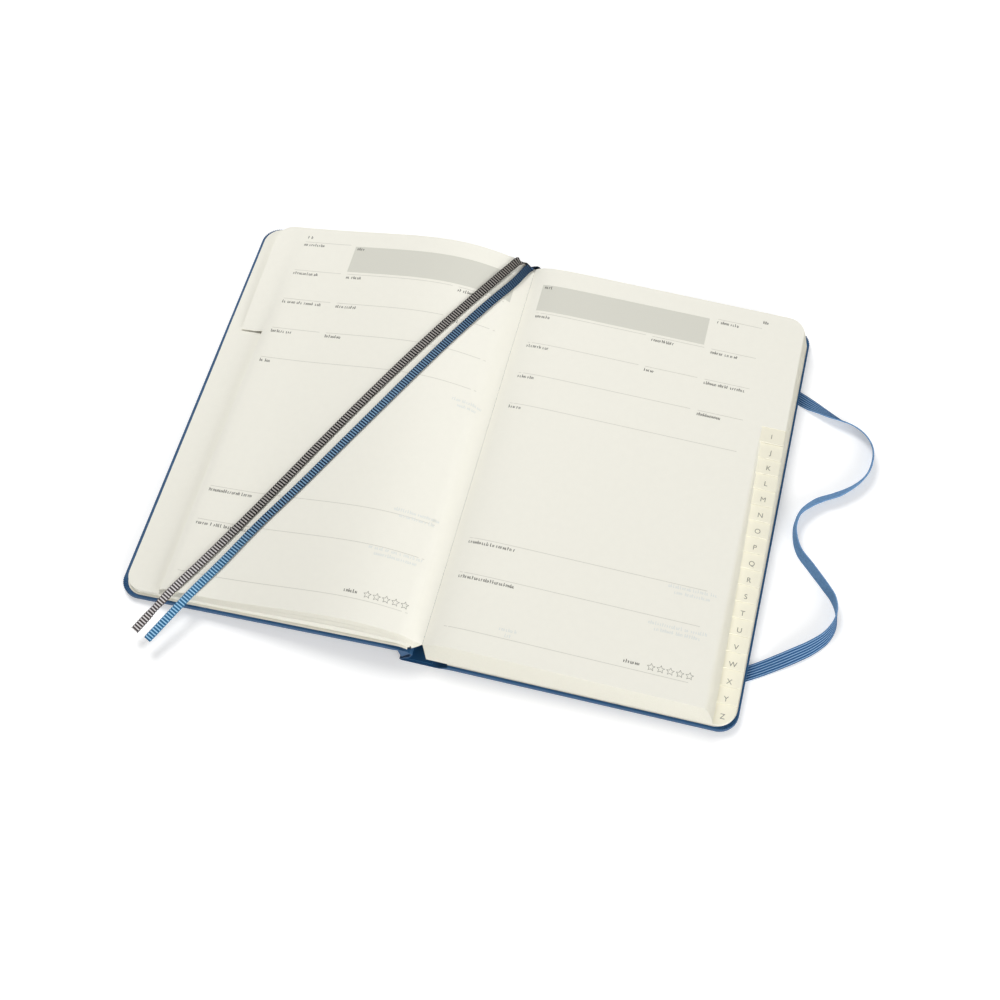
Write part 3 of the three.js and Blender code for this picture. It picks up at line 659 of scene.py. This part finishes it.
def makeCover(name, body, nodes, place, slots):
    bm = bmesh.new()
    half, wide, radius = case["height"] / 2, case["board"], case["corner"]
    outline = ((0, -half), (wide, -half), (wide, half), (0, half))
    verts = [bm.verts.new((x, y, 0)) for x, y in outline]
    bm.faces.new(verts)
    bmesh.ops.bevel(bm, geom=verts[1:3], offset=radius, segments=60, profile=0.5,
                    affect="VERTICES", material=-1)
    grown = bmesh.ops.extrude_face_region(bm, geom=bm.faces[:])["geom"]
    bmesh.ops.translate(bm, vec=(0, 0, case["thick"]),
                        verts=[v for v in grown if isinstance(v, bmesh.types.BMVert)])
    rims = [e for e in bm.edges if abs(e.verts[0].co.z - e.verts[1].co.z) < 0.01
            and max(v.co.x for v in e.verts) > 0.01]
    bmesh.ops.bevel(bm, geom=rims, offset=cover["edge"], segments=4, profile=0.5,
                    affect="EDGES", material=-1)
    upper = [f for f in bm.faces if f.calc_center_median().z > case["thick"] - 0.01]
    top = max(upper, key=lambda f: f.calc_area())
    bmesh.ops.inset_region(bm, faces=[top], thickness=cover["pleatReach"], use_even_offset=True)
    for v in bm.verts:
        across, along = v.co.x - (wide - radius), abs(v.co.y) - (half - radius)
        if across > 0 and along > 0 and v.co.z > case["thick"] / 3:
            turn = math.atan2(along, across)
            reach = math.hypot(across, along)
            fade = min(max((reach - cover["pleatFrom"]) / 3, 0), 1) * math.sqrt(math.sin(2 * turn))
            pleat = cover["pleatRise"] * fade * math.cos(4 * cover["pleats"] * turn)
            v.co.z += pleat
            v.co.x += 0.5 * pleat * across / reach
            v.co.y += 0.5 * pleat * math.copysign(along / reach, v.co.y)
    bm.transform(place)
    board = finishPiece(bm, name, [coverSkin], body, nodes)
    for x, y in slots:
        cutter = bmesh.new()
        bmesh.ops.create_cube(cutter, size=1)
        bmesh.ops.scale(cutter, vec=(elastic["width"] + 0.6, cover["slotWide"], 20),
                        verts=cutter.verts)
        bmesh.ops.translate(cutter, vec=(x, y, 0), verts=cutter.verts)
        cutter.transform(place)
        bmesh.ops.scale(cutter, vec=(mm, mm, mm), verts=cutter.verts)
        mesh = bpy.data.meshes.new("slot")
        cutter.to_mesh(mesh)
        cutter.free()
        tool = bpy.data.objects.new("slot", mesh)
        bpy.context.scene.collection.objects.link(tool)
        cutting = board.modifiers.new("slot", "BOOLEAN")
        cutting.operation, cutting.object, cutting.solver = "DIFFERENCE", tool, "EXACT"
        with bpy.context.temp_override(object=board, active_object=board, selected_objects=[board]):
            bpy.ops.object.modifier_apply(modifier="slot")
        bpy.data.objects.remove(tool)


def makeLining(name, body, node, place, foreInset):
    bm = bmesh.new()
    half, wide, inner = case["height"] / 2 - cover["liningInset"], case["board"] - foreInset, -0.3
    outline = ((inner, -half), (wide, -half), (wide, half), (inner, half))
    verts = [bm.verts.new((x, y, 0)) for x, y in outline]
    bm.faces.new(verts)
    bmesh.ops.bevel(bm, geom=verts[1:3], offset=cover["liningCorner"], segments=12, profile=0.5,
                    affect="VERTICES", material=-1)
    grown = bmesh.ops.extrude_face_region(bm, geom=bm.faces[:])["geom"]
    bmesh.ops.translate(bm, vec=(0, 0, case["lining"]),
                        verts=[v for v in grown if isinstance(v, bmesh.types.BMVert)])
    bmesh.ops.translate(bm, vec=(0, 0, case["thick"] + case["gap"]), verts=bm.verts)
    bm.transform(place)
    finishPiece(bm, name, [endPaper], body, [node])


frontPlace = (Matrix.Translation((-frontForeEdge, 0, 0)) @ Matrix.Rotation(-case["tilt"], 4, "Y")
              @ Matrix.Translation((case["board"], 0, 0)) @ Matrix.Diagonal((-1, 1, 1, 1)))
backPlace = Matrix.Translation((case["spine"] / 2 + case["joint"], 0, case["raised"]))
slotAt = (case["board"] - cover["slotAcross"], case["height"] / 2 - cover["slotAlong"])
makeCover("frontCover", "front_cover", ["front_cloth", "front_board"], frontPlace, [])
makeCover("backCover", "back_cover", ["back_cloth", "back_board"], backPlace,
          [slotAt, (slotAt[0], -slotAt[1])])
makeLining("frontPastedown", "front_cover", "front_pastedown", frontPlace,
           cover["frontLiningInset"])
makeLining("backPastedown", "back_cover", "back_pastedown", backPlace, cover["liningInset"])
print("covers done")


# A strip of cloth along a profile in the XZ plane, as tall as the case. thick(s) is its
# thickness, ruffle(s, y) pushes it off the profile, where it gathers at the ends, and
# bunch(s, y) thickens its outer side. Between the two shares in lined, its inner side is
# covered with the endpaper.
def clothStrip(profile, thick, rows, ruffle, lined=(2, 2), bunch=lambda s, y: 0):
    bm = bmesh.new()
    bmesh.ops.create_grid(bm, x_segments=len(profile) - 1, y_segments=rows, size=0.5)
    grown = bmesh.ops.extrude_face_region(bm, geom=bm.faces[:])["geom"]
    for v in grown:
        if isinstance(v, bmesh.types.BMVert):
            v.co.z = -1
    points = np.array(profile, float)
    along = np.gradient(points, axis=0)
    along /= np.linalg.norm(along, axis=1)[:, None]
    for v in bm.verts:
        i = round((v.co.x + 0.5) * (len(profile) - 1))
        share = i / (len(profile) - 1)
        # rows lie closer together towards the head and the tail
        tail = case["height"] / 2 - hinge["short"]
        y = math.copysign((1 - (1 - abs(2 * v.co.y)) ** 1.6) * tail, v.co.y)
        upper = v.co.z > -0.5
        up = Vector((-along[i][1], 0, along[i][0]))
        middle = case["cloth"] / 2
        v.co = (Vector((points[i][0], y, points[i][1])) + up * ruffle(share, y)
                + up * (thick(share) - middle if upper else -middle - bunch(share, y)))
        inside = abs(y) < case["height"] / 2 - cover["liningInset"]
        v.tag = upper and inside and lined[0] <= share <= lined[1]
    for face in bm.faces:
        face.material_index = 1 if all(v.tag for v in face.verts) else 0
    return bm


def bezier(a, b, c, d, count):
    t = np.linspace(0, 1, count)[:, None]
    a, b, c, d = (np.array(p, float) for p in (a, b, c, d))
    return a * (1 - t) ** 3 + 3 * b * t * (1 - t) ** 2 + 3 * c * t * t * (1 - t) + d * t ** 3


# The cloth is turned in under the leaves, so it starts as thick as the board and thins in the fold
hinge = {"lined": 0.34, "turnedIn": 2.2, "thins": 0.44, "gather": 0.22, "gatherReach": 9,
         "bunch": 5.8, "bunchFrom": 0.28, "bunchReach": 9, "short": 0.06, "overlap": 1.5}


def makeSpine():
    half = case["spine"] / 2
    middle = case["cloth"] / 2

    def smooth(share, y):
        return 0

    def tapered(share):
        return case["cloth"] + hinge["turnedIn"] * min(max(1 - share / hinge["thins"], 0), 1) ** 0.7

    def gathered(share, y):
        end = max(1 - (case["height"] / 2 - abs(y)) / hinge["gatherReach"], 0)
        return hinge["gather"] * end * math.sin(share * 34 + y * 0.9) * min(share, 1 - share) * 3

    # at the ends the turned-in cloth is bunched up inside the fold
    def bunched(share, y):
        if share <= hinge["bunchFrom"]:
            return 0
        end = min(max((hinge["bunchReach"] - case["height"] / 2 + abs(y)) / 6, 0), 1)
        return end * (hinge["bunch"] * max(1 - (share - hinge["bunchFrom"]) / 0.3, 0))

    # both joints begin a little inside the boards
    boardEnd = case["board"] * math.cos(case["tilt"]) - frontForeEdge
    start = boardEnd - hinge["overlap"]
    a = (boardEnd + case["joint"] + 0.3, frontFace(boardEnd + case["joint"] + 0.3, 0.5))
    b = (boardEnd + 2.2 * case["joint"], frontFace(boardEnd + 2 * case["joint"], 0.5))
    fold = bezier(a, b, (5.5 - half, 5.5), (-half - 0.35, middle + 0.7), 30)
    lead = np.linspace((start, frontFace(start, 0.28)), a, 16, endpoint=False)
    bm = clothStrip(np.concatenate([lead, fold]), tapered, 80, gathered,
                    lined=(0, hinge["lined"]), bunch=bunched)
    front = finishPiece(bm, "frontJoint", [coverSkin, endPaper], None, ["front_joint"])
    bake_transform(front)
    c = half + case["joint"] + hinge["overlap"]
    low = case["raised"] + middle + 0.08
    curve = bezier((half + 0.3, middle), (half + case["joint"] / 2, middle),
                   (c - case["joint"] / 2, low), (c, low), 16)
    bm = clothStrip(curve, lambda share: case["cloth"] + hinge["turnedIn"] * share ** 1.5, 80,
                    smooth, lined=(0.8, 1))
    back = finishPiece(bm, "backJoint", [coverSkin, endPaper], None, ["back_joint"])
    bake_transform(back)
    flat = np.linspace((-half, middle), (half + 0.28, middle), 8)
    bm = clothStrip(flat, lambda share: case["cloth"], 20, smooth)
    finishPiece(bm, "spineCloth", [coverSkin], "spine", ["spine_cloth"])


makeSpine()
print("spine done")

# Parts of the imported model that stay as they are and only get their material
for names, material in ((("spine_card", "spine_lining"), navyLining), (("pocket_panel",), endPaper),
                        (("pocket_gusset_head", "pocket_gusset_tail"), coverSkin),
                        (("elastic_end_head", "elastic_end_tail"), elasticWeave[1])):
    for name in names:
        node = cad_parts[name]
        node.data.materials.clear()
        node.data.materials.append(material)


# Print: thin slabs of ink that follow the page
def inkMaterial(name, colour):
    material, tree, shader = startMaterial(name, 0.8, Specular_IOR_Level=0.2)
    where = addNode(tree, "ShaderNodeTexCoord")
    speck = addNode(tree, "ShaderNodeTexNoise", {"Vector": where.outputs["Object"], "Scale": 4000})
    low = [c * 0.94 for c in linear(colour)[:3]] + [1]
    tone = addNode(tree, "ShaderNodeMix", {0: speck.outputs[0], 6: low, 7: linear(colour)},
                   data_type="RGBA")
    tree.links.new(tone.outputs[2], shader.inputs["Base Color"])
    return material


greyInk = inkMaterial("greyOffsetInk", "#6b6b66")
letterInk = inkMaterial("softGreyOffsetInk", "#8f8e84")
ruleInk = inkMaterial("paleGreyOffsetInk", "#dad8cd")
boxInk = inkMaterial("titleBoxTint", "#d9d8cd")
ghostInk = inkMaterial("printShowingThrough", "#e3e6e1")
ink = {"rise": 0.01, "thick": 0.02, "height": 1.15, "stroke": 0.3, "pitch": 1.0, "rule": 0.3}


def inkPatch(bm, surface, x1, y1, x2, y2, columns=1, rows=1, material=0, rise=0):
    made = bmesh.ops.create_grid(bm, x_segments=columns, y_segments=rows, size=0.5)["verts"]
    faces = list({f for v in made for f in v.link_faces})
    grown = bmesh.ops.extrude_face_region(bm, geom=faces)["geom"]
    for v in grown:
        if isinstance(v, bmesh.types.BMVert):
            v.co.z = 1
            made.append(v)
    for v in made:
        x = x1 + (v.co.x + 0.5) * (x2 - x1)
        y = y1 + (v.co.y + 0.5) * (y2 - y1)
        v.co = (x, y, surface(x, y) + ink["rise"] + rise + ink["thick"] * v.co.z)
    for face in {f for v in made for f in v.link_faces}:
        face.material_index = material


# A label is a row of small marks: uprights, some taller, each with a short bar
def inkWord(bm, surface, x1, x2, y, material=0):
    x, low = x1, y - ink["height"] / 2
    while x < x2 - 0.3:
        tall = ink["height"] * random.choice((1, 1, 1, 1.45))
        bar = random.choice((0, 0.4, 0.8)) * ink["height"]
        end = x + ink["pitch"] - 0.42
        inkPatch(bm, surface, x, low, x + ink["stroke"], low + tall, material=material)
        inkPatch(bm, surface, x + ink["stroke"], low + bar, end, low + bar + 0.24,
                 material=material)
        if random.random() < 0.5:
            inkPatch(bm, surface, end, low, x + ink["pitch"] - 0.2, low + ink["height"] * 0.95,
                     material=material, rise=0.002)
        x += ink["pitch"] * (1.7 if random.random() < 0.12 else 1)


# An outline star: two ten-cornered loops, one inside the other, joined and given a thickness
def inkStar(bm, surface, x, y, radius, line):
    loops = []
    for size in (radius, radius - line):
        ring = bmesh.ops.create_circle(bm, segments=10, radius=size)["verts"]
        for i, v in enumerate(ring):
            turn = math.pi / 2 + i * math.pi / 5
            reach = size * (1, 0.48)[i % 2]
            v.co = (reach * math.cos(turn), reach * math.sin(turn), 0)
        loops += list({e for v in ring for e in v.link_edges})
    flat = bmesh.ops.bridge_loops(bm, edges=loops)["faces"]
    grown = bmesh.ops.extrude_face_region(bm, geom=flat)["geom"]
    top = {v for v in grown if isinstance(v, bmesh.types.BMVert)}
    for v in top:
        v.co.z = 1
    for v in top | {v for e in loops for v in e.verts}:
        height = ink["rise"] + ink["thick"] * v.co.z
        v.co = (x + v.co.x, y + v.co.y, surface(x + v.co.x, y + v.co.y) + height)
    for face in {f for v in top for f in v.link_faces}:
        face.material_index = 3


# Print of one page: x counts from the left edge of the text, in three columns
sheetPrint = {
    "narrow": 24, "second": 27.3, "third": 84.2, "right": 105.3, "boxHigh": 15.4, "boxWide": 81,
    "rows": [(-17.9, (0, 7.2), (56, 67.8), (84.2, 97)),
             (-35.3, (0, 10.1), (56, 60.5), (84.2, 103.6)),
             (-52.8, (0, 7.8), None, (84.2, 94.8)), (-70, (0, 5.9), None, None),
             (-141.8, (0, 20.6), None, None), (-159, (0, 25.8), None, None)],
    "rating": -181.3, "lastRule": -184.4,
    "stars": 5, "starPitch": 4.1, "starRadius": 1.9, "starLine": 0.42,
}


def makePrint(name, body, surface, left, top, boxFirst, numberX, stars, rating, ghosts, cluster):
    narrow, second, third, right = (sheetPrint[k] for k in ("narrow", "second", "third", "right"))

    def ruleAcross(x1, x2, y):
        count = max(2, int((x2 - x1) / 3))
        inkPatch(bm, surface, left + x1, y, left + x2, y + ink["rule"], count, 1, 1)

    bm = bmesh.new()
    boxX = left if boxFirst else left + second
    inkPatch(bm, surface, boxX - 0.6, top - sheetPrint["boxHigh"],
             boxX - 0.6 + sheetPrint["boxWide"], top, 36, 4, 2)
    overBox = ink["thick"] + 0.01
    inkWord(bm, lambda x, y: surface(x, y) + overBox, boxX + 0.6, boxX + 4.6, top - 1.6)
    dateX = left + third if boxFirst else left
    inkWord(bm, surface, dateX, dateX + 10.4, top - 1.2)
    ruleAcross(*((third, right) if boxFirst else (0, narrow)), top + 0.5)
    for i, row in enumerate(sheetPrint["rows"]):
        y = top + row[0] - 1
        for k, span in enumerate(row[1:]):
            if not span:
                continue
            shift = 0 if boxFirst or i >= 3 else (second, second, -third)[k]
            inkWord(bm, surface, left + span[0] + shift, left + span[1] + shift, y)
        columns = [(0, right)]
        if i < 3:
            columns = [(0, 80.8), (third, right)] if boxFirst else [(0, narrow), (second, right)]
        if i < 2:
            columns = ([(0, 53), (56, 80.8), (third, right)] if boxFirst
                       else [(0, narrow), (second, 80.3), (83.3, right)])
        for x1, x2 in columns:
            ruleAcross(x1, x2, y + 1.9)
    ruleAcross(0, right, top + sheetPrint["lastRule"])
    y = top + sheetPrint["rating"]
    inkWord(bm, surface, rating, rating + 7, y)
    for k in range(sheetPrint["stars"]):
        inkStar(bm, surface, stars + sheetPrint["starPitch"] * k, y, sheetPrint["starRadius"],
                sheetPrint["starLine"])
    inkWord(bm, surface, numberX, numberX + 2.4, 95.9)
    # print of the other side of the leaf, showing through
    for x1, x2, y in ghosts:
        for line in range(2):
            inkWord(bm, surface, x1 + 3 * line, x2 - 2 * line, y - 2.6 * line, material=4)
    inks = [greyInk, ruleInk, boxInk, letterInk, ghostInk]
    piece = finishPiece(bm, name, inks, body, [])
    if cluster is not None:
        flatten(piece, cluster)


leftPageTop = leftAt(leftHeight - page["air"], 1)
rightPageTop = rightAt(1 - page["air"] / stackFull)
makePrint("rightPrint", "right_leaf", rightPageTop, 9.3, 91.8, True, 114.6, 98.2, 86.4,
          [(98, 119, -50.5), (93, 118, -69.5), (32.5, 40, -88.5)], None)
makePrint("leftPrint", "front_cover", leftPageTop, -112, 92.6, False, -111.4, -25.2, -35.6,
          [(-25.5, -5, -46), (-31, -7.5, -66.5), (-16, -3, 16)], 2)


# Index letters, one on each tab. Further down the index they stand a little to the left of the
# tab's middle and below it.
indexLetters = {"size": 3.4, "shiftX": 0.6, "leftwards": 0.0023, "firstX": -0.2,
                "downwards": 0.085, "lowest": 1.9}


def makeIndexLetters():
    groups = {"leaf_i": "i", "index_leaves": "jklmnopq", "back_leaves": "rstuvwxyz"}
    bottom, top = sectionShare
    count = page["rows"] - page["onTheLeft"]
    for body, own in groups.items():
        bm = bmesh.new()
        for letter in own:
            i = page["rows"] - 1 - letters.index(letter)
            share = bottom + (top - bottom) * (i + 1) / count
            if letter == "i":
                share = top + sheetShare
            surface = rightAt(share - page["air"] / stackFull)
            text = bpy.data.curves.new("letter", "FONT")
            text.body, text.size, text.extrude = letter.upper(), indexLetters["size"], 0.01
            text.align_x, text.align_y = "CENTER", "CENTER"
            holder = bpy.data.objects.new("letter", text)
            bpy.context.scene.collection.objects.link(holder)
            mesh = bpy.data.meshes.new_from_object(holder)
            down = letters.index(letter)
            aside = indexLetters["shiftX"] - indexLetters["leftwards"] * down ** 2
            if letter == "i":
                aside = indexLetters["firstX"]
            x = foreEdgeAt(share) - tabAt(share) / 2 + aside
            low = min(indexLetters["downwards"] * down, indexLetters["lowest"])
            y = pageHalf - (down + 0.5) * rowPitch - low
            mesh.transform(Matrix.Translation((x, y, 0)))
            bpy.data.objects.remove(holder)
            first = len(bm.verts)
            bm.from_mesh(mesh)
            bm.verts.ensure_lookup_table()
            for v in bm.verts[first:]:
                v.co.z += surface(v.co.x, v.co.y) + ink["rise"] + 0.01
        bmesh.ops.remove_doubles(bm, verts=bm.verts, dist=0.0005)
        finishPiece(bm, "indexLetters_" + body, [letterInk], body, [])


makeIndexLetters()
print("print done")


# Floor and light: places in metres, powers in watts, glow as the floor's emission
stage = {"floor": 2500, "colour": "#e6e6e6", "glowNear": 0.36, "near": 0.4, "far": 0.9,
         "world": 0.29, "key": ((-0.36, 0.41, 0.96), 0.5, 7.2),
         "fill": ((1.0, -0.98, 0.42), 1.1, 17)}


def makeStage():
    bm = bmesh.new()
    bmesh.ops.create_grid(bm, x_segments=1, y_segments=1, size=stage["floor"])
    bmesh.ops.translate(bm, vec=(0, 0, -0.05), verts=bm.verts)
    bmesh.ops.scale(bm, vec=(mm, mm, mm), verts=bm.verts)
    mesh = bpy.data.meshes.new("floor")
    bm.to_mesh(mesh)
    bm.free()
    floor = bpy.data.objects.new("floor", mesh)
    bpy.context.scene.collection.objects.link(floor)
    material, tree, shader = startMaterial("paleFloor", 0.9)
    shader.inputs["Base Color"].default_value = linear(stage["colour"])
    seen = addNode(tree, "ShaderNodeLightPath")
    either = addNode(tree, "ShaderNodeMath", {0: seen.outputs["Is Camera Ray"],
                                              1: seen.outputs["Is Glossy Ray"]},
                     operation="MAXIMUM")
    where = addNode(tree, "ShaderNodeTexCoord")
    away = addNode(tree, "ShaderNodeVectorMath", {0: where.outputs["Object"]}, operation="LENGTH")
    # further out, where the lamps don't reach, the floor glows more
    rise = addNode(tree, "ShaderNodeMapRange", {0: away.outputs["Value"], 1: stage["near"],
                                                2: stage["far"], 3: stage["glowNear"], 4: 1.0})
    glow = addNode(tree, "ShaderNodeMath", {0: either.outputs[0], 1: rise.outputs[0]},
                   operation="MULTIPLY")
    tree.links.new(glow.outputs[0], shader.inputs["Emission Strength"])
    shader.inputs["Emission Color"].default_value = (1, 1, 1, 1)
    mesh.materials.append(material)

    world = bpy.data.worlds.new("studio")
    world.use_nodes = True
    bpy.context.scene.world = world
    tree = world.node_tree
    background = tree.nodes["Background"]
    background.inputs["Color"].default_value = (1, 1, 1, 1)
    seen = addNode(tree, "ShaderNodeLightPath")
    strength = addNode(tree, "ShaderNodeMix", {0: seen.outputs["Is Camera Ray"],
                                               2: stage["world"], 3: 1.0}, data_type="FLOAT")
    tree.links.new(strength.outputs[0], background.inputs["Strength"])

    def lamp(name, place, size, power):
        data = bpy.data.lights.new(name, "AREA")
        data.shape, data.size, data.energy = "DISK", size, power
        lamp = bpy.data.objects.new(name, data)
        lamp.location = place
        lamp.rotation_euler = Vector(place).to_track_quat("Z", "Y").to_euler()
        bpy.context.scene.collection.objects.link(lamp)

    lamp("keyLight", *stage["key"])
    lamp("fillLight", *stage["fill"])
    bpy.context.scene.view_settings.view_transform = "Standard"


makeStage()
